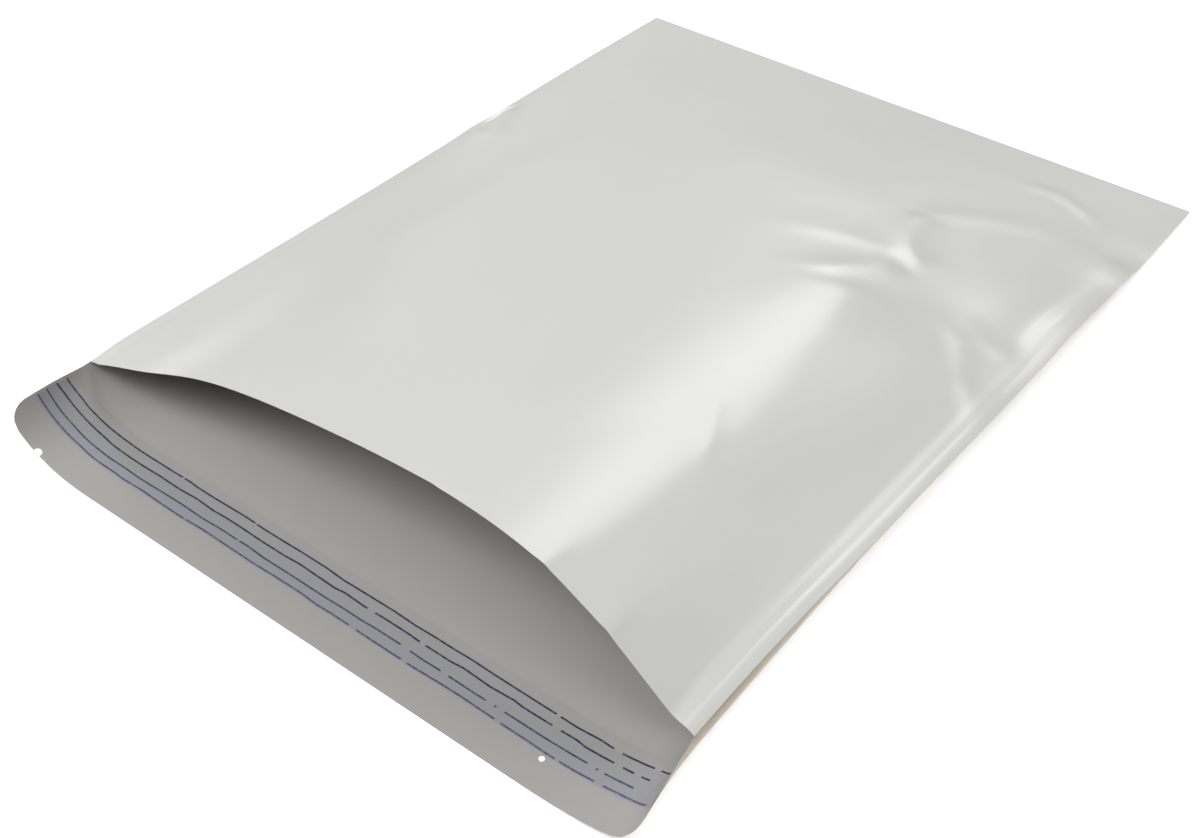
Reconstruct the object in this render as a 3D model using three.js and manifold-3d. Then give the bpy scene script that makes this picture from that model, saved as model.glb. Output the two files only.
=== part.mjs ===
// Poly mailer bag with a peel-and-seal closure lip, lying on its back panel with its mouth
// arched open. Millimetres, +Z up. X runs across the bag, Y from the lip's free edge (low)
// to the folded bottom (high). The origin is on the floor under the middle of the bag.
//
// The film is one sheet, folded across the bottom and welded along both sides. The back
// panel lies on the floor in the middle and curls up towards its two side welds, more and
// more towards the mouth. The front panel is as wide as the back one, so it bows up between
// the welds by the length that the curl leaves spare.

import * as THREE from "three";
import { mergeVertices } from "three/addons/utils/BufferGeometryUtils.js";
import Module from "manifold-3d";

const { degToRad, clamp } = THREE.MathUtils;

// Driving dimensions.
const bagWidth = 305;
const bodyLength = 390;
const lipLength = 41;
const lipCornerRadius = 9;
const filmThickness = 0.06;
const weldWidth = 0.6;
const foldWidth = 1;
const innerGap = 0.5;
const innerGapReach = 8;
const mouthSetback = 6.5;

// The closure: an adhesive band on the lip's inner face under a peel-off liner.
// Each reaches from its near side to its far side, measured from the mouth line.
const linerNear = 8;
const linerFar = 27.4;
const linerThickness = 0.05;
const linerSideMargin = 1.2;
const adhesiveNear = 12;
const adhesiveFar = 26.4;
const adhesiveThickness = 0.08;
const adhesiveSideMargin = 3;
const layerGap = 0.02;

// Two small punched holes in the lip: place across from the centre line, distance from the
// mouth line, radius. The first breaks out of the free edge.
const lipHoles = [
  { across: -132.5, out: 40.3, radius: 1.6 },
  { across: 106.5, out: 29.2, radius: 1.1 },
];
const punchLength = 4;
const punchSides = 16;

// How the sides curl up: the edge angle of each side, in degrees, at stations measured from
// the mouth line. The angle grows from nothing over the zone's width by the given power.
const curlStations = [-lipLength, 0, 80, 160, 240, 320, bodyLength];
const leftCurl = { zone: 55, power: 1.86, edgeDegrees: [72, 59, 39, 26, 17.5, 9.5, 0] };
const rightCurl = { zone: 60, power: 2.33, edgeDegrees: [27, 27, 33, 36, 27.5, 12.5, 0] };

// Near the mouth the last stretch of the right side also rolls up past upright.
const rollWidth = 9;
const rollDegrees = 103;
const rollReach = 120;
const rollLeftAtLipEdge = 0.15;

// The front panel's bow is three sine waves, relative to the first.
const bowWaves = [1, -0.137, 0.088];

const halfWidth = bagWidth / 2;
const mouthY = lipLength - (bodyLength + lipLength) / 2;

for (const curl of [leftCurl, rightCurl]) {
  curl.angle = new THREE.CubicInterpolant(curlStations, curl.edgeDegrees.map(degToRad), 1);
}

// The extra roll at the right edge at a station, in radians.
function rollAngle(station) {
  if (station < 0) {
    return degToRad(rollDegrees) * (1 + ((1 - rollLeftAtLipEdge) * station) / lipLength);
  }
  return degToRad(rollDegrees) * Math.exp(-((station / rollReach) ** 2));
}

// The back panel's mid-surface: the point reached by walking from the centre line along the
// film, across (negative to the left), at a station. It walks the curled part in short steps.
function backPoint(across, station) {
  const steps = 48;
  const curl = across < 0 ? leftCurl : rightCurl;
  const roll = across < 0 ? 0 : rollAngle(station);
  const edgeAngle = curl.angle.evaluate(station)[0];
  const flat = halfWidth - curl.zone;
  const walked = Math.abs(across);
  const curled = Math.max(walked - flat, 0);
  let x = Math.min(walked, flat);
  let z = filmThickness / 2;
  for (let i = 0; i < steps; i += 1) {
    const along = ((i + 0.5) / steps) * curled;
    const rolled = clamp((along - curl.zone + rollWidth) / rollWidth, 0, 1);
    const angle = edgeAngle * (along / curl.zone) ** curl.power + roll * rolled;
    x += (Math.cos(angle) * curled) / steps;
    z += (Math.sin(angle) * curled) / steps;
  }
  return new THREE.Vector3(Math.sign(across) * x, mouthY + station, z);
}

// How far the front panel rises above the straight line between the welds when its chord is
// shorter than its film: a bow of this height has the film's whole width in it.
function bowHeight(chord) {
  const spare = Math.max(bagWidth - chord, 0);
  const waviness = bowWaves.reduce((sum, wave, i) => sum + (wave * (i + 1)) ** 2, 0);
  return (2 / Math.PI) * Math.sqrt((chord * spare) / waviness);
}

// The front panel's mid-surface above the same place across the flat film. It starts on the
// back panel at both welds, and keeps a small gap to it everywhere between.
function frontPoint(across, station) {
  const left = backPoint(-halfWidth, station);
  const right = backPoint(halfWidth, station);
  const chord = right.x - left.x;
  const share = across / bagWidth + 0.5;
  const bow = bowWaves.reduce((sum, wave, i) => sum + wave * Math.sin((i + 1) * Math.PI * share), 0);
  const fromWeld = halfWidth - Math.abs(across);
  const gap = innerGap * clamp((bodyLength - station) / innerGapReach, 0.1, 1);
  const stacked = fromWeld > 0 ? filmThickness : 0;
  const point = left.lerp(right, share);
  point.y += mouthSetback * Math.sin(Math.PI * share) * (1 - station / bodyLength) ** 2;
  point.z += bowHeight(chord) * bow + gap * Math.min(fromWeld / innerGapReach, 1) + stacked;
  return point;
}

// Unit normals of a grid of points, grid[row][column], from each point's neighbours.
function gridNormals(grid) {
  return grid.map((row, j) =>
    row.map((_, i) => {
      const before = grid[Math.max(j - 1, 0)][i];
      const after = grid[Math.min(j + 1, grid.length - 1)][i];
      const alongRow = row[Math.min(i + 1, row.length - 1)].clone().sub(row[Math.max(i - 1, 0)]);
      return alongRow.cross(after.clone().sub(before)).normalize();
    }),
  );
}

// The grid moved along its normals.
function offsetGrid(grid, distance) {
  const normals = gridNormals(grid);
  return grid.map((row, j) =>
    row.map((point, i) => point.clone().addScaledVector(normals[j][i], distance)),
  );
}

// One column of a grid, as a line of points.
function columnOf(grid, column) {
  return grid.map((row) => row.at(column));
}

// Collects triangles by their corner points, and leaves out those that have no area because
// two corners are one point.
class Skin {
  positions = [];

  face(a, b, c) {
    if (!a.equals(b) && !b.equals(c) && !c.equals(a)) {
      this.positions.push(...a.toArray(), ...b.toArray(), ...c.toArray());
    }
  }

  // A patch over rows of points. It faces along (row direction) x (from row to row), or the
  // other way where reversed.
  patch(rows, reversed = false) {
    for (let j = 0; j + 1 < rows.length; j += 1) {
      for (let i = 0; i + 1 < rows[j].length; i += 1) {
        const [a, b, c, d] = [rows[j][i], rows[j][i + 1], rows[j + 1][i + 1], rows[j + 1][i]];
        if (reversed) {
          this.face(a, c, b);
          this.face(a, d, c);
        } else {
          this.face(a, b, c);
          this.face(a, c, d);
        }
      }
    }
  }

  geometry() {
    const soup = new THREE.BufferGeometry();
    soup.setAttribute("position", new THREE.Float32BufferAttribute(this.positions, 3));
    const merged = mergeVertices(soup, 1e-4);
    merged.computeVertexNormals();
    return merged;
  }
}

// A closed sheet of the given thickness about a grid of mid-surface points.
function sheetGeometry(grid, thickness) {
  const top = offsetGrid(grid, thickness / 2);
  const bottom = offsetGrid(grid, -thickness / 2);
  const skin = new Skin();
  skin.patch(top);
  skin.patch(bottom, true);
  skin.patch([bottom[0], top[0]]);
  skin.patch([top.at(-1), bottom.at(-1)]);
  skin.patch([columnOf(top, 0), columnOf(bottom, 0)]);
  skin.patch([columnOf(bottom, -1), columnOf(top, -1)]);
  return skin.geometry();
}

// Places across the flat film, closer together where it bends more.
const leftSteps = [0, 1.2, 3, 7, 12, 18, 25, 33, 43, leftCurl.zone];
const rightSteps = [0, 1.2, 2, 3, 4, 5, 6, 7, 8, rollWidth, 13, 19, 26, 34, 45, rightCurl.zone];
const middlePlaces = [-81, -64, -46, -28, -10, 8, 26, 44, 61, 77];
const places = [
  ...leftSteps.map((step) => step - halfWidth),
  ...middlePlaces,
  ...rightSteps.map((step) => halfWidth - step).reverse(),
];

// Stations along the lip and the body, measured from the mouth line.
const cornerStations = [0, 1, 3, 6, lipCornerRadius].map((step) => step - lipLength);
const closureStations = [linerFar, adhesiveFar, 19, adhesiveNear, linerNear].map((out) => -out);
const bodyStations = [0, 14, 32, 54, 80, 110, 142, 176, 210, 245, 280, 315, 345, 368, 382];
const insideStations = [...bodyStations, bodyLength - 2 * foldWidth, bodyLength - foldWidth];
const lipStations = [...cornerStations, ...closureStations];

// How much the lip's rounded corners take off each side at a station.
function cornerCut(station) {
  const left = Math.max(lipCornerRadius - station - lipLength, 0);
  return lipCornerRadius - Math.sqrt(lipCornerRadius ** 2 - left ** 2);
}

// The back panel's mid-surface over the given places and stations.
function backGrid(across, stations) {
  return stations.map((station) => {
    const narrowing = 1 - cornerCut(station) / halfWidth;
    return across.map((place) => backPoint(place * narrowing, station));
  });
}

// Where the two films' inner faces meet at a side weld: a weld's width inside the edge, on
// the line that halves the angle between the films.
function weldLine(backInner, backMiddle, frontMiddle, edge, beside) {
  return backMiddle.map((row, j) => {
    const tip = row.at(edge);
    const alongBack = row.at(beside).clone().sub(tip).normalize();
    const alongFront = frontMiddle[j].at(beside).clone().sub(tip).normalize();
    const inwards = alongBack.add(alongFront).normalize();
    return backInner[j].at(edge).clone().addScaledVector(inwards, weldWidth);
  });
}

// The bag's film as one skin: back panel with its lip, front panel, side welds and fold.
function filmGeometry() {
  const outsideStations = [...insideStations, bodyLength];
  const backMiddle = backGrid(places, [...lipStations, ...outsideStations]);
  const frontMiddle = outsideStations.map((station) => places.map((place) => frontPoint(place, station)));
  const backOuter = offsetGrid(backMiddle, -filmThickness / 2);
  const backInner = offsetGrid(backMiddle, filmThickness / 2);
  const frontOuter = offsetGrid(frontMiddle, filmThickness / 2);
  const frontInner = offsetGrid(frontMiddle, -filmThickness / 2);

  const lipRows = lipStations.length;
  const bodyMiddle = backMiddle.slice(lipRows);
  for (const [edge, beside] of [[0, 1], [-1, -2]]) {
    const column = edge === 0 ? 0 : places.length - 1;
    const meeting = weldLine(backInner.slice(lipRows), bodyMiddle, frontMiddle, edge, beside);
    const stacked = offsetGrid(bodyMiddle, 1.5 * filmThickness);
    for (let j = 0; j < meeting.length; j += 1) {
      backInner[lipRows + j][column] = meeting[j];
      frontInner[j][column] = meeting[j];
      frontOuter[j][column] = stacked[j][column];
    }
  }
  backInner.pop();
  frontInner.pop();

  const bodyOuter = backOuter.slice(lipRows);
  const lipOuter = backOuter.slice(0, lipRows + 1);
  const lipInner = backInner.slice(0, lipRows + 1);
  const skin = new Skin();
  skin.patch(backOuter, true);
  skin.patch(backInner);
  skin.patch(frontInner, true);
  skin.patch(frontOuter);
  skin.patch([backOuter[0], backInner[0]]);
  skin.patch([frontInner[0], frontOuter[0]]);
  skin.patch([backInner.at(-1), frontInner.at(-1)]);
  skin.patch([frontOuter.at(-1), backOuter.at(-1)]);
  skin.patch([columnOf(lipInner, 0), columnOf(lipOuter, 0)]);
  skin.patch([columnOf(lipOuter, -1), columnOf(lipInner, -1)]);
  skin.patch([columnOf(frontOuter, 0), columnOf(bodyOuter, 0)]);
  skin.patch([columnOf(bodyOuter, -1), columnOf(frontOuter, -1)]);
  skin.face(bodyOuter[0][0], frontInner[0][0], frontOuter[0][0]);
  skin.face(bodyOuter[0].at(-1), frontOuter[0].at(-1), frontInner[0].at(-1));
  return skin.geometry();
}

const wasm = await Module();
wasm.setup();

// A closed geometry as a solid that can be cut.
function solidFrom(geometry) {
  const bare = geometry.clone();
  bare.deleteAttribute("normal");
  bare.deleteAttribute("uv");
  const merged = mergeVertices(bare, 1e-4);
  return new wasm.Manifold(
    new wasm.Mesh({
      numProp: 3,
      vertProperties: new Float32Array(merged.attributes.position.array),
      triVerts: new Uint32Array(merged.index.array),
    }),
  );
}

// A cut solid back as a geometry.
function geometryFrom(solid) {
  const mesh = solid.getMesh();
  const geometry = new THREE.BufferGeometry();
  geometry.setAttribute("position", new THREE.BufferAttribute(mesh.vertProperties, 3));
  geometry.setIndex(new THREE.BufferAttribute(mesh.triVerts, 1));
  geometry.computeVertexNormals();
  return geometry;
}

// A punch through the lip's film, standing square to it.
function punch(hole) {
  const centre = backPoint(hole.across, -hole.out);
  const beside = backPoint(hole.across + 1, -hole.out).sub(centre);
  const normal = new THREE.Vector3(-beside.z, 0, beside.x).normalize();
  const geometry = new THREE.CylinderGeometry(hole.radius, hole.radius, punchLength, punchSides);
  geometry.applyQuaternion(new THREE.Quaternion().setFromUnitVectors(new THREE.Vector3(0, 1, 0), normal));
  geometry.translate(centre.x, centre.y, centre.z);
  return solidFrom(geometry);
}

function bagFilm() {
  let film = solidFrom(filmGeometry());
  for (const hole of lipHoles) {
    film = film.subtract(punch(hole));
  }
  return geometryFrom(film);
}

// A thin layer lying over the lip's inner face, between two distances from the mouth line
// and up to a margin from each side edge.
function lipLayer({ near, far, margin, lift, thickness }) {
  const stations = closureStations.filter((station) => station >= -far && station <= -near);
  const across = places.filter((place) => Math.abs(place) <= halfWidth - margin);
  return sheetGeometry(offsetGrid(backGrid(across, stations), lift + thickness / 2), thickness);
}

function namedMesh(name, geometry, color, roughness) {
  const material = new THREE.MeshStandardMaterial({ color, roughness, metalness: 0 });
  const mesh = new THREE.Mesh(geometry, material);
  mesh.name = name;
  return mesh;
}

const adhesive = {
  near: adhesiveNear,
  far: adhesiveFar,
  margin: adhesiveSideMargin,
  lift: filmThickness / 2 + layerGap,
  thickness: adhesiveThickness,
};
const liner = {
  near: linerNear,
  far: linerFar,
  margin: linerSideMargin,
  lift: adhesive.lift + adhesiveThickness + layerGap,
  thickness: linerThickness,
};

const bag = new THREE.Group();
bag.add(namedMesh("bag_film", bagFilm(), 0xdcdcd8, 0.4));
bag.add(namedMesh("adhesive_strip", lipLayer(adhesive), 0x9c9a94, 0.3));
bag.add(namedMesh("release_liner", lipLayer(liner), 0x9a9ca8, 0.25));

export default bag;
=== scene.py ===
# %% [markdown]
# # A poly mailer, open and lying on its back
#
# A poly mailer is a bag of thin plastic film. One sheet, white outside and grey inside, is
# folded across the bottom and welded down both sides. The back panel runs on past the mouth
# as a closure lip, which carries a band of adhesive under a peel-off liner with thin lines.
#
# Nothing here is simulated: film this thin keeps its length and bends one way at a time, so
# a formula for the bend gives the same shape every time and can be read.

# %% Load the frame
import math

import bpy
import numpy as np
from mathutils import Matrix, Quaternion, Vector


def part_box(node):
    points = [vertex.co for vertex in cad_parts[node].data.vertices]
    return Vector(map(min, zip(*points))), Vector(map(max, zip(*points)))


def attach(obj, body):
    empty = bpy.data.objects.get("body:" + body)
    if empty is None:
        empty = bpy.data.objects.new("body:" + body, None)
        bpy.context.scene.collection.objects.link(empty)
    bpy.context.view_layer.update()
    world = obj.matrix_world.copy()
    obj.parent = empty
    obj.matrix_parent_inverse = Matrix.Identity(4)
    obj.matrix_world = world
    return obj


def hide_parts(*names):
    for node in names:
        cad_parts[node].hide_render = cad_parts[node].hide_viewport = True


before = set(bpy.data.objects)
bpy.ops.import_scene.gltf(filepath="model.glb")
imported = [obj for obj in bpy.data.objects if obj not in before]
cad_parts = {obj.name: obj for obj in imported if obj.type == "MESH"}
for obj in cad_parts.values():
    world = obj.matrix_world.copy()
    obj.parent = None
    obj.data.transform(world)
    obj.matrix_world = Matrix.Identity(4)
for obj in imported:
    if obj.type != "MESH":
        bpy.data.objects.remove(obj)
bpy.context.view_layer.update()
MM = 0.001
print("frame nodes:", sorted(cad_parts))

# %% [markdown]
# ## The camera
#
# The camera comes first, because it decides which faces of the bag matter most. It stands a
# little more than half a metre away, to the right of the mouth, and looks down at about 42
# degrees. A real camera would be held at arm's length over a table.

# %% Camera
CAMERA_PLACE = (0.306, -0.433, 0.422)
CAMERA_AZIMUTH = 37.5
CAMERA_DOWN = 42.2
CAMERA_LENS_MM = 47.6

camera = bpy.data.objects.new("camera", bpy.data.cameras.new("camera"))
camera.location = CAMERA_PLACE
camera.rotation_euler = (math.radians(90 - CAMERA_DOWN), 0, math.radians(CAMERA_AZIMUTH))
camera.data.lens = CAMERA_LENS_MM
camera.data.clip_start = 0.01
bpy.context.scene.collection.objects.link(camera)
bpy.context.scene.camera = camera
print("camera at", CAMERA_PLACE)

# %% [markdown]
# ## Sizes
#
# The bag's width and length come from the frame. The lip's length says where the mouth is.
# A *station* is a distance from the mouth line, measured along the film: it is positive into
# the bag and negative on the lip. A *place* is a distance across the flat film from its
# centre line, negative to the left.

# %% Driving sizes
film_low, film_high = (np.array(corner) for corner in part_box("bag_film"))
WIDTH = float(film_high[0] - film_low[0])
LIP = 41 * MM
BODY = float(film_high[1] - film_low[1]) - LIP
HALF = WIDTH / 2
MOUTH_Y = float(film_low[1]) + LIP
FILM = 0.06 * MM
print(f"film {WIDTH:.3f} m wide, body {BODY:.3f} m deep, lip {LIP:.3f} m")

# %% [markdown]
# ## How the back panel curls
#
# A real mailer comes folded out of a carton, and its welded sides spring up when it is laid
# open. The middle of the back panel lies on the floor, and near each side weld the film turns
# up. Walking out along the film, the angle grows from nothing as a power of the way walked,
# and near the mouth the last stretch on the right rolls up past upright.
#
# The edge could be modelled by pulling points about, but then the film would stretch. Here
# the angle is the formula and the point is found by adding up short steps along it, so the
# film keeps its width whatever the curl.

# %% A smooth curve through a few values
def through(knots, values, at):
    """The cubic curve through the values at the knots. Its slope at each knot is the mean of
    the slopes to the knots on both sides, and at the two ends it is the end stretch's."""
    knots, values = np.asarray(knots, float), np.asarray(values, float)
    gaps = np.diff(knots)
    rises = np.diff(values) / gaps
    slopes = np.concatenate([rises[:1], (rises[:-1] + rises[1:]) / 2, rises[-1:]])
    at = np.clip(at, knots[0], knots[-1])
    i = np.clip(np.searchsorted(knots, at, side="right") - 1, 0, len(gaps) - 1)
    p = (at - knots[i]) / gaps[i]
    start = (1 + 2 * p) * (1 - p) ** 2 * values[i] + p * (1 - p) ** 2 * gaps[i] * slopes[i]
    end = (3 - 2 * p) * p**2 * values[i + 1] - (1 - p) * p**2 * gaps[i] * slopes[i + 1]
    return start + end


# %% The curl of each side
CURL_STATIONS = np.array([-LIP, 0, 0.080, 0.160, 0.240, 0.320, BODY])
LEFT_ZONE, LEFT_POWER = 55 * MM, 1.86
LEFT_DEGREES = (72, 59, 39, 26, 17.5, 9.5, 0)
RIGHT_ZONE, RIGHT_POWER = 60 * MM, 2.33
RIGHT_DEGREES = (27, 27, 33, 36, 27.5, 12.5, 0)
ROLL_WIDTH, ROLL_REACH, ROLL_DEGREES, ROLL_AT_LIP_EDGE = 9 * MM, 120 * MM, 103, 0.15
WALK_STEPS = 48


def roll_angle(station):
    """The extra turn of the right edge: greatest at the mouth line, fading as a bell curve
    into the bag and in a straight line over the lip."""
    inside = np.exp(-((station / ROLL_REACH) ** 2))
    on_lip = 1 + (1 - ROLL_AT_LIP_EDGE) * station / LIP
    return math.radians(ROLL_DEGREES) * np.where(station < 0, on_lip, inside)


def back_point(place, station):
    """The back panel's middle surface. The flat part is walked as it is; the rest is the sum
    of short steps whose angle is the edge angle times (way walked / zone) to a power, plus
    the roll over its last stretch. Returns x, y, z."""
    place, station = np.broadcast_arrays(np.asarray(place, float), np.asarray(station, float))
    right = place > 0
    zone = np.where(right, RIGHT_ZONE, LEFT_ZONE)
    power = np.where(right, RIGHT_POWER, LEFT_POWER)
    left_edge = np.radians(through(CURL_STATIONS, LEFT_DEGREES, station))
    right_edge = np.radians(through(CURL_STATIONS, RIGHT_DEGREES, station))
    edge = np.where(right, right_edge, left_edge)
    roll = np.where(right, roll_angle(station), 0)
    walked = np.abs(place)
    curled = np.maximum(walked - (HALF - zone), 0)
    x, z = walked - curled, np.full(place.shape, FILM / 2)
    for step in range(WALK_STEPS):
        along = (step + 0.5) / WALK_STEPS * curled
        rolled = np.clip((along - zone + ROLL_WIDTH) / ROLL_WIDTH, 0, 1)
        angle = edge * (along / zone) ** power + roll * rolled
        x = x + np.cos(angle) * curled / WALK_STEPS
        z = z + np.sin(angle) * curled / WALK_STEPS
    return np.sign(place) * x, MOUTH_Y + station, z


left_edge_height = float(back_point(-HALF, 0)[2])
right_edge_height = float(back_point(HALF, 0)[2])
print(f"edges at the mouth stand {left_edge_height:.4f} and {right_edge_height:.4f} m high")

# %% [markdown]
# ## How the front panel bows
#
# The front panel is exactly as wide as the back one, but the curl brings the two welds closer
# together, so the front panel has film to spare and bows up. A bow made of sine waves with
# height h over a chord c takes up about (pi h / 2)^2 / c of film, and that gives its height.

# %% The bow
BOW_WAVES = (1, -0.137, 0.088)
MOUTH_SETBACK = 6.5 * MM
PANEL_GAP, GAP_REACH, FOLD_REACH = 0.4 * MM, 8 * MM, 60 * MM


def bow(place, station):
    """The front panel's height above the straight line between its welds: its height from
    the film to spare, times the sum of the sine waves across the panel."""
    left, right = back_point(-HALF, station), back_point(HALF, station)
    chord = right[0] - left[0]
    share = place / WIDTH + 0.5
    waviness = sum((size * (i + 1)) ** 2 for i, size in enumerate(BOW_WAVES))
    height = 2 / math.pi * np.sqrt(np.maximum(chord * (WIDTH - chord), 0) / waviness)
    return height * sum(size * np.sin((i + 1) * math.pi * share) for i, size in enumerate(BOW_WAVES))


def front_base(place, station):
    """The front panel's middle surface before it is creased: the straight line between the
    welds, plus the bow, plus a small gap to the back panel. Returns x, y, z."""
    place, station = np.broadcast_arrays(np.asarray(place, float), np.asarray(station, float))
    left, right = back_point(-HALF, station), back_point(HALF, station)
    share = place / WIDTH + 0.5
    from_weld = HALF - np.abs(place)
    gap = PANEL_GAP * np.clip((BODY - station) / FOLD_REACH, 0.1, 1)
    x = left[0] + (right[0] - left[0]) * share
    y = MOUTH_Y + station + MOUTH_SETBACK * np.sin(math.pi * share) * (1 - station / BODY) ** 2
    z = left[2] + (right[2] - left[2]) * share + bow(place, station)
    return x, y, z + FILM + gap * np.minimum(from_weld / GAP_REACH, 1)


print(f"bow at the mouth {float(bow(0.045, 0)):.4f} m")

# %% [markdown]
# ## Creases, dents and waves
#
# Film that has been folded in a carton keeps marks: creases that run in soft curves and fade
# out, shallow dents between them, and a rim with a few bends in it. A crease is rarely the
# same on both sides: it has a short steep side that catches the light and a long gentle one.
#
# Sculpting them by hand would hide where they are. Here each mark is one line of numbers on
# the flat film, so a mark can be moved or softened without touching the rest.

# %% Marks on the film
def crease(p, s, path, widths, height, tapers=(0.4, 0.4)):
    """A ridge (a groove where height is negative) along a smooth path: height times
    exp(-|distance / width| ** 1.7), with one width on the path's left and one on its right.
    It fades in and out over the tapers, which are shares of its length."""
    path = np.array(path, float)
    knots = np.arange(len(path))
    fine = np.linspace(0, len(path) - 1, 6 * (len(path) - 1) + 1)
    line = np.stack([through(knots, path[:, i], fine) for i in (0, 1)], axis=1)
    start, run = line[:-1, None, None], np.diff(line, axis=0)[:, None, None]
    to_point = np.stack([p, s], axis=-1)[None] - start
    length = np.hypot(run[..., 0], run[..., 1])
    part = np.clip((to_point * run).sum(-1) / length**2, 0, 1)
    away = np.linalg.norm(to_point - part[..., None] * run, axis=-1)
    side = np.sign(to_point[..., 0] * run[..., 1] - to_point[..., 1] * run[..., 0])
    nearest = away.argmin(axis=0)[None]
    away, part, side = (np.take_along_axis(v, nearest, 0)[0] for v in (away, part, side))
    along = (nearest[0] + part) / len(run)
    width = np.where(side > 0, widths[1], widths[0])
    fade = smooth_step(along / max(tapers[0], 1e-6)) * smooth_step((1 - along) / max(tapers[1], 1e-6))
    return height * fade * np.exp(-((away / width) ** 1.7))


def smooth_step(share):
    """From 0 to 1 with no slope at either end: 3 x^2 - 2 x^3."""
    share = np.clip(share, 0, 1)
    return share**2 * (3 - 2 * share)


def swell(p, s, centre, reach, height, turn=0.0):
    """A soft mound (or a dent): a bell curve with its own reach along two directions, turned
    by an angle in degrees."""
    angle = math.radians(turn)
    across, deep = p - centre[0], s - centre[1]
    a = (across * math.cos(angle) + deep * math.sin(angle)) / reach[0]
    b = (deep * math.cos(angle) - across * math.sin(angle)) / reach[1]
    return height * np.exp(-(a**2) - b**2)


# Each crease: path of (place, station), widths to the left and right of it, height, tapers.
# All in millimetres. The mouth is at station 0, so a crease with no first taper runs out of it.
CREASES_MM = (
    # A pinch across the bag: two ridges with a valley between them.
    (((4, 233), (24, 241), (44, 248), (64, 253), (86, 255)), (11, 7), 0.65, (0.5, 0.2)),
    (((32, 210), (53, 216), (68, 227), (83, 247)), (10, 4), 1.5, (0.6, 0.15)),
    # The fold that turns off the pinch, and the long ridge that it becomes.
    (((65, 294), (66, 277), (74, 262), (88, 249)), (9, 5.5), 1.4, (0.15, 0.15)),
    (((60, 286), (80, 304), (103, 318), (136, 332)), (10, 4.5), 1.0, (0.15, 0.4)),
    # An arc near the far right corner.
    (((76, 351), (97, 358), (114, 353), (130, 344)), (5, 2.5), 0.65, (0.3, 0.25)),
    # A three-cornered dent beside the right edge.
    (((118, 229), (128, 212), (141, 195), (150, 180)), (12, 5), 0.9, (0.1, 0.4)),
    (((112, 234), (126, 232), (146, 226)), (8, 5), 0.6, (0.2, 0.2)),
    # The film stands up along the right edge beyond the dent, and a groove bounds it.
    (((144, 318), (137, 276), (136, 246), (143, 228)), (5, 9), -1.0, (0.25, 0.45)),
    # Two long soft folds that run in from the mouth, where its rim has its bends.
    (((86, -4), (90, 60), (87, 130), (80, 185), (71, 224)), (24, 13), 1.3, (0, 0.1)),
    (((113, -4), (113, 60), (106, 150)), (14, 12), 0.55, (0, 0.5)),
    # A short crease on the bow's right slope.
    (((75, 116), (86, 95), (98, 73)), (3, 2), 0.45, (0.3, 0.5)),
    # The soft line where the left side begins to fall away.
    (((-140, 352), (-97, 300), (-98, 200), (-108, 100), (-112, 30)), (22, 14), 0.7, (0.3, 0.3)),
    # A nick in the left edge.
    (((-152, 268), (-143, 246), (-138, 234), (-147, 220)), (4, 7), 2.0, (0.2, 0.2)),
    # A long low swell where the bag goes flat, and a faint one on the bow's left slope.
    (((-80, 284), (0, 288), (56, 290)), (40, 34), 1.1, (0.4, 0.2)),
    (((-2, 150), (14, 90), (36, 0)), (16, 9), 0.35, (0.3, 0)),
)

# Each swell: centre, reach across and along, height (negative for a dent), turn in degrees.
SWELLS_MM = (
    # The bow keeps its height up to here, then drops to the flatter part of the bag.
    ((63, 206), (22, 32), 1.1, 0),
    ((114, 233), (26, 28), -2.3, 0),
    # The corner of the three-cornered dent, and the hollow beside it.
    ((115, 226), (5, 5), 0.5, 0),
    ((135, 208), (7, 8), -0.7, 20),
    # A shallow dent beside the right edge, below the arc.
    ((138, 330), (12, 6), -0.6, 0),
    # The rim sags a little beside the left weld.
    ((-122, -4), (29, 100), -3.5, 0),
    # Two small bends of the rim.
    ((86, -1), (2.5, 14), 0.7, 0),
    ((114, -1), (2.5, 14), 0.8, 0),
    ((144, -1), (3, 14), -0.5, 0),
)

# Marks at the side edges move both panels: centre, reach, height, turn.
EDGE_SWELLS_MM = (
    ((-152, 236), (9, 12), 0.8, 0),
    ((152, 316), (13, 9), 1.3, 0),
    ((150, 336), (13, 8), -0.9, 0),
    ((152, 268), (11, 28), 1.9, 0),
    ((-152, -2), (14, 12), -1.4, 0),
)

# Beside the right weld the front panel comes down steeply and then runs out flat.
SHELF_PLACE, SHELF_WIDTHS, SHELF_DEPTHS = 140.5, (23, 8), (3.1, 2.6, 1.8, 1.0, 0)
SHELF_STATIONS = (0, 70, 150, 215, 250)


def shelf(p, s):
    """The groove beside the right weld, as deep as its depth at the station."""
    width = np.where(p > SHELF_PLACE, SHELF_WIDTHS[1], SHELF_WIDTHS[0])
    depth = through(SHELF_STATIONS, SHELF_DEPTHS, s)
    return -depth * np.exp(-((np.abs(p - SHELF_PLACE) / width) ** 1.7))


def relief(place, station):
    """All marks of the front panel added up. They fade out at the welds and the fold, where
    the film is held."""
    p, s = np.broadcast_arrays(place / MM, station / MM)
    total = shelf(p, s)
    for path, widths, height, tapers in CREASES_MM:
        total = total + crease(p, s, path, widths, height, tapers)
    for centre, reach, height, turn in SWELLS_MM:
        total = total + swell(p, s, centre, reach, height, turn)
    held = np.clip((HALF / MM - np.abs(p)) / 5, 0, 1) * smooth_step((BODY / MM - s) / 10)
    return total * MM * held


def edge_relief(place, station):
    """Marks at the side edges, the same on both panels. They fade out at the fold."""
    p, s = np.broadcast_arrays(place / MM, station / MM)
    total = sum(swell(p, s, *mark) for mark in EDGE_SWELLS_MM)
    return total * MM * smooth_step((BODY / MM - s) / 20)


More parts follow.
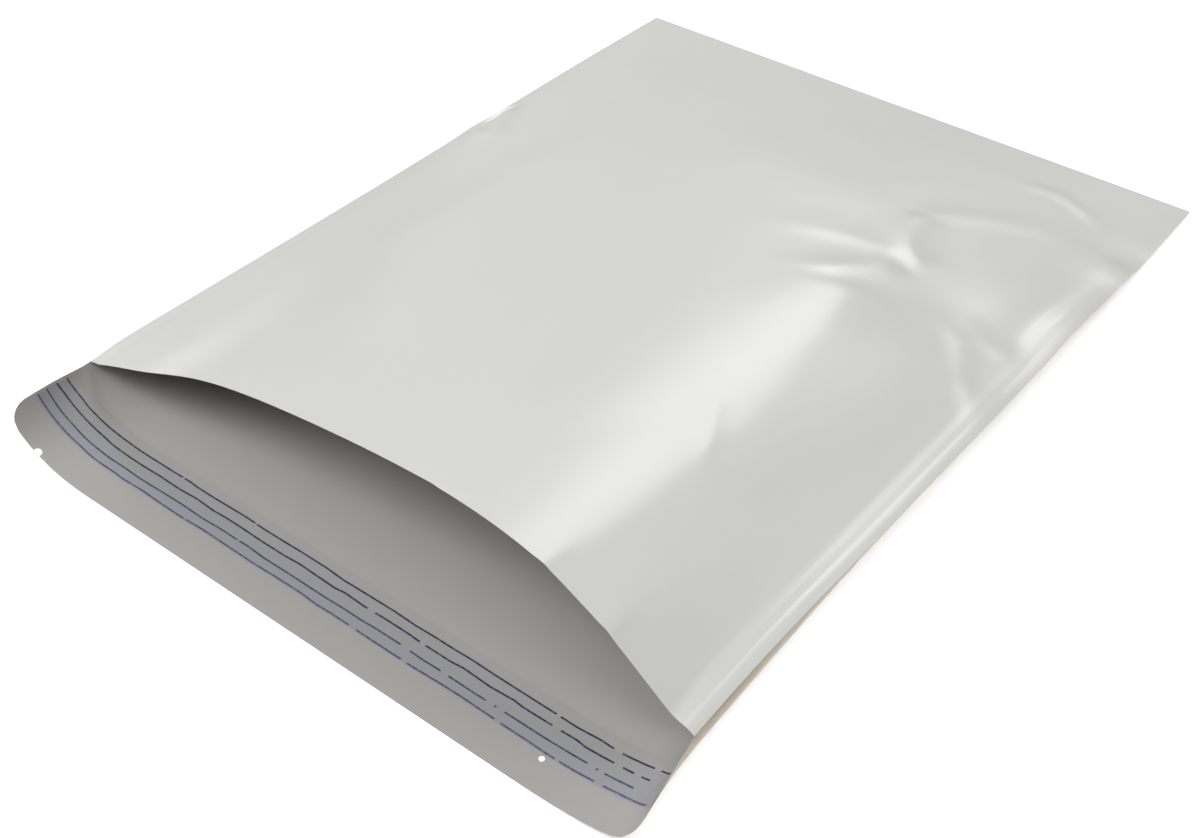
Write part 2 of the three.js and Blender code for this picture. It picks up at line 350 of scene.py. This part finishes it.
# %% [markdown]
# ## The film as one sheet
#
# The bag could be built from a front, a back and a lip joined together, but the real one is
# a single run of film. So is this grid: its rows start at the lip's free edge, go in over the
# back panel, turn round the fold and come back over the front panel to the mouth rim. Its
# columns are places across the film, and lie closer together where the film bends sharply.
#
# The grid is the film's middle surface. A Solidify modifier gives it its real thickness of
# 0.06 mm, and puts the white outside and the grey inside on their own sides.

# %% Helpers for grids
def shared_out(low, high, count, weight):
    """Numbers from low to high, closer together where the weight function is greater: equal
    steps of the running sum of the weight."""
    fine = np.linspace(low, high, 4001)
    total = np.concatenate([[0], np.cumsum(weight((fine[1:] + fine[:-1]) / 2))])
    return np.interp(np.linspace(0, total[-1], count), total, fine)


def grid_faces(rows, columns):
    """The four corners of every cell of a grid of points numbered row by row. They go round
    so that a cell faces away from (along the columns) x (along the rows)."""
    number = np.arange(rows * columns).reshape(rows, columns)
    cells = (number[:-1, :-1], number[1:, :-1], number[1:, 1:], number[:-1, 1:])
    return np.stack(cells, axis=-1).reshape(-1, 4)


def make_piece(name, points, faces, materials):
    """A mesh object at the origin from arrays of points and of four-cornered faces."""
    mesh = bpy.data.meshes.new(name)
    mesh.vertices.add(len(points))
    mesh.vertices.foreach_set("co", points.astype(np.float32).ravel())
    mesh.loops.add(faces.size)
    mesh.loops.foreach_set("vertex_index", faces.astype(np.int32).ravel())
    mesh.polygons.add(len(faces))
    mesh.polygons.foreach_set("loop_start", np.arange(0, faces.size, 4, dtype=np.int32))
    mesh.update(calc_edges=True)
    mesh.validate()
    for material in materials:
        mesh.materials.append(material)
    piece = bpy.data.objects.new(name, mesh)
    bpy.context.scene.collection.objects.link(piece)
    return piece


def give_thickness(piece, thickness, inside_material=0):
    """Solidify to both sides of the middle surface. The side that the faces look away from
    takes the material that is inside_material slots further on."""
    solidify = piece.modifiers.new("thickness", "SOLIDIFY")
    solidify.thickness = thickness
    solidify.offset = 0
    solidify.material_offset = inside_material


def bake_modifiers(piece, smooth_below=40):
    """Makes the modifiers' result the mesh itself, smooth except at edges sharper than the
    given angle in degrees."""
    graph = bpy.context.evaluated_depsgraph_get()
    mesh = bpy.data.meshes.new_from_object(piece.evaluated_get(graph))
    piece.modifiers.clear()
    piece.data = mesh
    mesh.shade_smooth()
    mesh.set_sharp_from_angle(angle=math.radians(smooth_below))
    triangles = sum(len(face.vertices) - 2 for face in mesh.polygons)
    print(f"{piece.name}: {triangles} triangles")


# %% Columns and rows
COLUMNS, LIP_ROWS, BODY_ROWS, FOLD_ROWS = 142, 20, 142, 5
LIP_CORNER = 9 * MM


def column_weight(place):
    """More columns at both side edges, and most where the right edge rolls."""
    return 1 + 3 * np.exp(-(((place + HALF) / 0.006) ** 2)) + 7 * np.exp(-(((place - HALF) / 0.010) ** 2))


def lip_weight(station):
    """More rows at the rounded corners of the lip."""
    return 1 + 3 * np.exp(-(((station + LIP) / 0.004) ** 2))


def body_weight(station):
    """More rows near the mouth and next to the fold."""
    return 1 + 1.5 * np.exp(-((station / 0.015) ** 2)) + 4 * np.exp(-(((station - BODY) / 0.004) ** 2))


places = shared_out(-HALF, HALF, COLUMNS, column_weight)
lip_stations = shared_out(-LIP, 0, LIP_ROWS, lip_weight)
body_stations = shared_out(0, BODY, BODY_ROWS, body_weight)
print(f"columns {np.diff(places).min():.4f} to {np.diff(places).max():.4f} m apart")


# %% The sheet's middle surface
def lip_corner_share(station):
    """How much of its half width the back panel keeps at a station: all of it, except where
    a quarter circle rounds the lip's two corners."""
    into = np.maximum(LIP_CORNER - station - LIP, 0)
    return 1 - (LIP_CORNER - np.sqrt(LIP_CORNER**2 - into**2)) / HALF


def back_surface(place, station):
    """The back panel and lip as they lie: the curled panel, plus the marks at its edges."""
    x, y, z = back_point(place * lip_corner_share(station), station)
    return x, y, z + np.maximum(edge_relief(place, station), FILM - z)


def front_surface(place, station):
    """The front panel as it lies: the bowed panel, plus its marks."""
    x, y, z = front_base(place, station)
    return x, y, z + relief(place, station) + edge_relief(place, station)


def sheet_points():
    """Rows of points from the lip's free edge, over the back, round the fold and over the
    front to the mouth rim. The fold is a half circle between the two panels' last rows."""
    back_rows = np.concatenate([lip_stations, body_stations[1:]])
    back = np.stack(back_surface(places[None, :], back_rows[:, None]), axis=-1)
    front = np.stack(front_surface(places[None, :], body_stations[::-1, None]), axis=-1)
    turn = np.linspace(0, math.pi, FOLD_ROWS + 2)[1:-1, None]
    radius = (front[0, :, 2] - back[-1, :, 2]) / 2
    fold_y = back[-1, :, 1] + radius * np.sin(turn)
    fold_z = back[-1, :, 2] + radius * (1 - np.cos(turn))
    fold_x = np.broadcast_to(back[-1, :, 0], fold_y.shape)
    fold = np.stack([fold_x, fold_y, fold_z], axis=-1)
    return np.concatenate([back, fold, front])


sheet = sheet_points()
print("sheet grid:", sheet.shape[:2], "points")

# %% [markdown]
# ## Finishes
#
# The film is blown in two layers: a white outside with a satin sheen, and a grey inside that
# hides what is posted. Both are polyethylene, so neither is a mirror: light spreads into a
# soft band where the film bends. Outside, the strips along the welds are painted darker and
# warmer: a painted shade with warm bounced light in it, as where the edge turns down away
# from the light. Each finish starts from one shader, with a slight mottling in its roughness
# and a low waviness in its bump, on Object coordinates so that it stays put.

# %% A helper for finishes
def new_material(name, color, roughness, specular=0.5):
    """A material with one Principled shader. Returns the material and its shader."""
    material = bpy.data.materials.new(name)
    material.use_nodes = True
    shader = material.node_tree.nodes["Principled BSDF"]
    shader.inputs["Base Color"].default_value = (*color, 1)
    shader.inputs["Roughness"].default_value = roughness
    shader.inputs["Specular IOR Level"].default_value = specular
    return material, shader


def add_noise(material, scale, detail=3.0):
    """Three-dimensional noise on Object coordinates, in features per metre."""
    nodes, links = material.node_tree.nodes, material.node_tree.links
    coordinates = nodes.new("ShaderNodeTexCoord")
    noise = nodes.new("ShaderNodeTexNoise")
    noise.inputs["Scale"].default_value = scale
    noise.inputs["Detail"].default_value = detail
    links.new(coordinates.outputs["Object"], noise.inputs["Vector"])
    return noise


def spread(material, noise, low, high):
    """The noise, which runs from 0 to 1, moved to run from low to high."""
    node = material.node_tree.nodes.new("ShaderNodeMapRange")
    node.inputs["To Min"].default_value = low
    node.inputs["To Max"].default_value = high
    material.node_tree.links.new(noise.outputs["Fac"], node.inputs["Value"])
    return node.outputs["Result"]


def add_bump(material, shader, noise, distance, strength=1.0):
    """Bump from the noise, with its greatest height as a distance in metres."""
    bump = material.node_tree.nodes.new("ShaderNodeBump")
    bump.inputs["Strength"].default_value = strength
    bump.inputs["Distance"].default_value = distance
    material.node_tree.links.new(noise.outputs["Fac"], bump.inputs["Height"])
    material.node_tree.links.new(bump.outputs["Normal"], shader.inputs["Normal"])


# %% The film's two sides
def film_finish(name, color, roughness, specular):
    """Satin film: its roughness varies a little in patches of about 30 mm, and its surface
    is very slightly uneven at the same size."""
    material, shader = new_material(name, color, roughness, specular)
    patches = add_noise(material, 30, detail=1.0)
    uneven = spread(material, patches, roughness - 0.02, roughness + 0.02)
    material.node_tree.links.new(uneven, shader.inputs["Roughness"])
    add_bump(material, shader, patches, 0.0003)
    return material


WHITE_OUTSIDE = (0.63, 0.63, 0.605)
GREY_INSIDE = (0.363, 0.352, 0.337)
# The weld colour is painted shade: darker and warmer than the white film, standing in for shade with warm
# bounced light where the edge turns down.
WELD_PAINTED_SHADE = (0.42, 0.36, 0.28)
outside = film_finish("white_outside", WHITE_OUTSIDE, 0.245, 0.5)
inside = film_finish("grey_inside", GREY_INSIDE, 0.42, 0.4)
# This finish carries the painted shade and warm bounced light at the welds.
weld = film_finish("weld_painted_shade", WELD_PAINTED_SHADE, 0.3, 0.4)
print("finishes:", outside.name, inside.name)

# %% [markdown]
# ## Making the bag film
#
# The grid becomes a mesh, Solidify gives it its thickness, and the two holes are punched
# through the lip, square to the film, as a perforating pin does. The first one cuts into the
# lip's free edge. The outermost cells of the back panel take the weld's painted shade outside:
# a darker, warmer colour that stands in for shade and warm bounced light.

# %% Bag film
WELD_WIDTH, WELD_SHADE_SLOT = 5 * MM, 2
PIN_HOLES = ((-0.1325, -0.0403, 1.6 * MM), (0.1065, -0.0292, 1.1 * MM))


def pin(place, station, radius):
    """A round pin standing square to the lip at a place and station."""
    here = np.array(back_point(place, station))
    beside = np.array(back_point(place + MM, station))
    lean = math.atan2(beside[2] - here[2], beside[0] - here[0])
    bpy.ops.mesh.primitive_cylinder_add(vertices=32, radius=radius, depth=4 * MM, location=here)
    piece = bpy.context.object
    piece.rotation_euler = (0, -lean, 0)
    return piece


rows, columns = sheet.shape[:2]
film_materials = (outside, inside, weld, inside)
bag_film = make_piece("mailer_film", sheet.reshape(-1, 3), grid_faces(rows, columns), film_materials)
film_cells = np.zeros((rows - 1, columns - 1), np.int32)
# The strips along the welds take the painted shade finish outside.
weld_shade_cells = np.abs(places[1:] + places[:-1]) / 2 > HALF - WELD_WIDTH
back_cells = LIP_ROWS + BODY_ROWS - 2
film_cells[:back_cells, weld_shade_cells] = WELD_SHADE_SLOT
bag_film.data.polygons.foreach_set("material_index", film_cells.ravel())
give_thickness(bag_film, FILM, inside_material=1)
pins = [pin(*hole) for hole in PIN_HOLES]
for number, one_pin in enumerate(pins):
    punch = bag_film.modifiers.new(f"hole_{number}", "BOOLEAN")
    punch.operation = "DIFFERENCE"
    punch.object = one_pin
bake_modifiers(bag_film)
for one_pin in pins:
    bpy.data.objects.remove(one_pin)

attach(bag_film, "root")
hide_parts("bag_film")

# %% [markdown]
# ## The adhesive and its liner
#
# A band of soft adhesive runs across the lip, and a thin release liner covers it until the
# bag is posted. Both lie on the lip, so both are the lip's own surface, lifted by what lies
# under them.

# %% Layers on the lip
LINER_NEAR, LINER_FAR, LINER_MARGIN, LINER = 8 * MM, 27.4 * MM, 1.2 * MM, 0.05 * MM
GLUE_NEAR, GLUE_FAR, GLUE_MARGIN, GLUE = 12 * MM, 26.4 * MM, 3 * MM, 0.08 * MM
LAYER_GAP = 0.02 * MM
GLUE_LIFT = FILM / 2 + LAYER_GAP + GLUE / 2
LINER_LIFT = GLUE_LIFT + GLUE / 2 + LAYER_GAP + LINER / 2


def lip_surface(place, out, lift):
    """The lip's surface at a distance out from the mouth line, lifted square to the film."""
    step = 0.2 * MM
    x, y, z = back_surface(place, -out)
    before, after = back_surface(place - step, -out), back_surface(place + step, -out)
    along_x, along_z = after[0] - before[0], after[2] - before[2]
    size = np.hypot(along_x, along_z)
    return np.stack([x - lift * along_z / size, y, z + lift * along_x / size], axis=-1)


def layer(name, places, outs, lift, materials):
    """A thin layer on the lip over a grid of places (columns) and distances out (rows). The
    rows may follow their own line across the lip: outs is a grid too."""
    points = lip_surface(places, outs, lift)
    rows, columns = points.shape[:2]
    return make_piece(name, points.reshape(-1, 3), grid_faces(rows, columns), materials)


# %% Adhesive
glue_material, glue_shader = new_material("soft_adhesive", (0.45, 0.43, 0.36), 0.3)
add_bump(glue_material, glue_shader, add_noise(glue_material, 900), 0.00003)
glue_places = shared_out(-HALF + GLUE_MARGIN, HALF - GLUE_MARGIN, 140, column_weight)
glue_outs = np.linspace(GLUE_NEAR, GLUE_FAR, 6)[:, None] + 0 * glue_places
adhesive = layer("adhesive_band", glue_places[None, :], glue_outs, GLUE_LIFT, [glue_material])
give_thickness(adhesive, GLUE)
bake_modifiers(adhesive)
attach(adhesive, "root")
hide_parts("adhesive_strip")

# %% [markdown]
# ## Printed lines
#
# Four thin lines run along the liner, about 5 mm apart. They aren't a texture: the liner's
# own grid has a row on each side of every line, those rows wander as the line does, and
# the cells between them take an ink finish. Where a line has worn away or broken off, its
# cells keep the liner's own finish.

# %% The lines
LINE_OUTS = (12.45 * MM, 17.05 * MM, 22.35 * MM, 26.6 * MM)
LINE_WIDTHS = (0.74 * MM, 0.74 * MM, 0.7 * MM, 0.76 * MM)
INK_OF_LINE = (0, 0, 1, 2)
KINK_EVERY, KINK_SIZE = 9 * MM, 0.32 * MM

# Where each line is broken: from and to, as places in millimetres.
LINE_BREAKS_MM = (
    ((-82.9, -82.0), (-42.9, -42.1), (99, 101), (123.5, 127), (139.5, 142), (146, 152)),
    ((18.3, 21.6), (43.2, 46), (101.5, 105), (127, 130), (135, 137.5), (141, 152)),
    ((-42, -41), (39, 43), (57, 61), (77.5, 80.5), (81.5, 85), (120, 123), (124, 127), (138, 152)),
    ((-66, -65), (18.5, 22), (43, 46), (84.5, 87.5), (110, 112), (126, 129), (147, 152)),
)


def wander(place, line):
    """How far a line strays from straight: short straight runs between kinks. Each kink's
    own offset comes from a fixed sequence of random numbers."""
    knots = np.arange(-HALF - KINK_EVERY, HALF + 2 * KINK_EVERY, KINK_EVERY)
    random = np.random.default_rng(40 + line)
    knots = knots + random.uniform(-0.4, 0.4, len(knots)) * KINK_EVERY
    return np.interp(place, knots, random.uniform(-1, 1, len(knots)) * KINK_SIZE)


# %% The liner's grid
liner_places = shared_out(-HALF + LINER_MARGIN, HALF - LINER_MARGIN, 420, column_weight)
liner_rows = [np.full(liner_places.shape, LINER_NEAR)]
line_bands = []
for line, (out, width) in enumerate(zip(LINE_OUTS, LINE_WIDTHS)):
    middle = out + wander(liner_places, line)
    line_bands.append(len(liner_rows))
    liner_rows += [middle - width / 2, middle + width / 2]
liner_rows.append(np.full(liner_places.shape, LINER_FAR))
liner_outs = np.array(liner_rows)
print("liner grid:", liner_outs.shape)

# %% [markdown]
# ## Tint and ink
#
# The liner is nearly clear beside the mouth and turns a little bluer from line to line
# towards the lip's edge. The lines are navy near the mouth and bluer and paler further out.
# One finish with a colour ramp could do this, but a finish for each strip between two lines
# keeps the step in tint exactly at the line.

# %% Liner finishes
# One tint for each strip, from the one beside the mouth to the one past the last line.
TINTS = (
    (0.345, 0.337, 0.325),
    (0.314, 0.312, 0.310),
    (0.305, 0.305, 0.314),
    (0.300, 0.301, 0.320),
    (0.335, 0.330, 0.325),
)
tint_materials = []
for number, tint in enumerate(TINTS):
    material, shader = new_material(f"release_film_{number}", tint, 0.32)
    add_bump(material, shader, add_noise(material, 60), 0.0002)
    tint_materials.append(material)


def ink(name, color, wear):
    """An ink, mixed in specks of about a millimetre with the liner's middle tint: wear is the
    share of the tint where the noise is at its middle."""
    material, shader = new_material(name, color, 0.32)
    nodes, links = material.node_tree.nodes, material.node_tree.links
    mix = nodes.new("ShaderNodeMix")
    mix.data_type = "RGBA"
    mix.inputs["A"].default_value = (*color, 1)
    mix.inputs["B"].default_value = (*TINTS[2], 1)
    links.new(spread(material, add_noise(material, 700), wear - 0.6, wear + 0.6), mix.inputs["Factor"])
    links.new(mix.outputs["Result"], shader.inputs["Base Color"])
    return material


ink_materials = [
    ink("ink_navy", (0.020, 0.026, 0.062), 0.05),
    ink("ink_slate", (0.045, 0.053, 0.115), 0.08),
    ink("ink_blue_grey", (0.072, 0.080, 0.165), 0.12),
]

# %% Release liner
liner_finishes = [*tint_materials, *ink_materials]
liner = layer("release_liner_strip", liner_places[None, :], liner_outs, LINER_LIFT, liner_finishes)

# Rows of cells alternate: a strip, then a line, which starts with the tint of its strip.
row_tints = np.arange(len(liner_rows) - 1, dtype=np.int32) // 2
cell_materials = np.repeat(row_tints[:, None], len(liner_places) - 1, axis=1)
cell_places = (liner_places[1:] + liner_places[:-1]) / 2 / MM
for band, ink_number, breaks in zip(line_bands, INK_OF_LINE, LINE_BREAKS_MM):
    plain = cell_materials[band].copy()
    cell_materials[band] = len(TINTS) + ink_number
    for start, end in breaks:
        worn = (cell_places > start) & (cell_places < end)
        cell_materials[band, worn] = plain[worn]
liner.data.polygons.foreach_set("material_index", cell_materials.ravel())
give_thickness(liner, LINER)
bake_modifiers(liner)
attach(liner, "root")
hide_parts("release_liner")

# %% [markdown]
# ## Floor and light
#
# The bag lies on a plain pale floor. A large window on the left and a smaller one on the
# right give most of the light. The broad band along the bow is the reflection of a bright
# stretch of wall behind the bag, which is wide at the top and narrow at the bottom. One wide
# light can't have that outline, so four soft lights overlap to make it.

# %% Floor
FLOOR_SIZE = 3.6
bpy.ops.mesh.primitive_plane_add(size=FLOOR_SIZE, location=(0, 0, -0.0002))
floor = bpy.context.object
floor.name = "floor"
floor_material, _ = new_material("pale_floor", (0.97, 0.97, 0.97), 0.9, specular=0.1)
floor.data.materials.append(floor_material)

# %% Room
ROOM_SEEN, ROOM_LIGHT = 0.85, 0.01

world = bpy.data.worlds.new("studio")
world.use_nodes = True
world.node_tree.nodes["Background"].inputs["Color"].default_value = (1, 1, 1, 1)
bpy.context.scene.world = world

# The room beyond the floor looks pale, but gives next to no light of its own.
room_nodes, room_links = world.node_tree.nodes, world.node_tree.links
ray_kind = room_nodes.new("ShaderNodeLightPath")
room_strength = room_nodes.new("ShaderNodeMath")
room_strength.operation = "MULTIPLY_ADD"
room_strength.inputs[1].default_value = ROOM_SEEN
room_strength.inputs[2].default_value = ROOM_LIGHT
room_links.new(ray_kind.outputs["Is Camera Ray"], room_strength.inputs[0])
room_links.new(room_strength.outputs["Value"], room_nodes["Background"].inputs["Strength"])


# %% Light
def soft_light(name, azimuth, elevation, size, power, roll=0, distance=1.8):
    """A rectangular light that faces the origin. Azimuth 0 is in front of the mouth and 90 to
    its right; elevation is above the floor; roll leans its top to its own left. Angles are in
    degrees, sizes in metres, power in watts."""
    data = bpy.data.lights.new(name, "AREA")
    data.shape = "RECTANGLE"
    data.size, data.size_y = size
    data.energy = power
    lamp = bpy.data.objects.new(name, data)
    turn, rise = math.radians(azimuth), math.radians(elevation)
    away = (math.sin(turn) * math.cos(rise), -math.cos(turn) * math.cos(rise), math.sin(rise))
    lamp.location = Vector(away) * distance
    facing = Vector(away).to_track_quat("Z", "Y")
    lamp.rotation_euler = (facing @ Quaternion((0, 0, 1), math.radians(roll))).to_euler()
    bpy.context.scene.collection.objects.link(lamp)
    return lamp


soft_light("left_window", -40, 43, (0.8, 1.2), 28.3)
soft_light("right_front", 30, 48, (0.9, 0.9), 3.0)
soft_light("right_side", 75, 50, (0.9, 0.9), 11)
soft_light("band_top", -178, 55, (0.7, 0.35), 3.2)
soft_light("band_middle", -170, 43, (0.6, 0.35), 2.3)
soft_light("band_lean", -167, 41.5, (0.5, 0.95), 1.0, roll=22)
soft_light("band_low", -160, 31, (0.45, 0.3), 1.7)
soft_light("back_wide", -160, 45, (1.6, 1.2), 1.7)
soft_light("back_low", -155, 18, (1.8, 0.35), 1.3)
soft_light("back_right", 140, 45, (0.5, 0.9), 1.2)

# One more light falls on the floor alone, which keeps the bag's shadow pale.
floor_light = soft_light("floor_light", 60, 70, (1.6, 1.6), 18)
floor_only = bpy.data.collections.new("floor_only")
floor_only.objects.link(floor)
floor_light.light_linking.receiver_collection = floor_only
bpy.context.scene.view_settings.view_transform = "Standard"
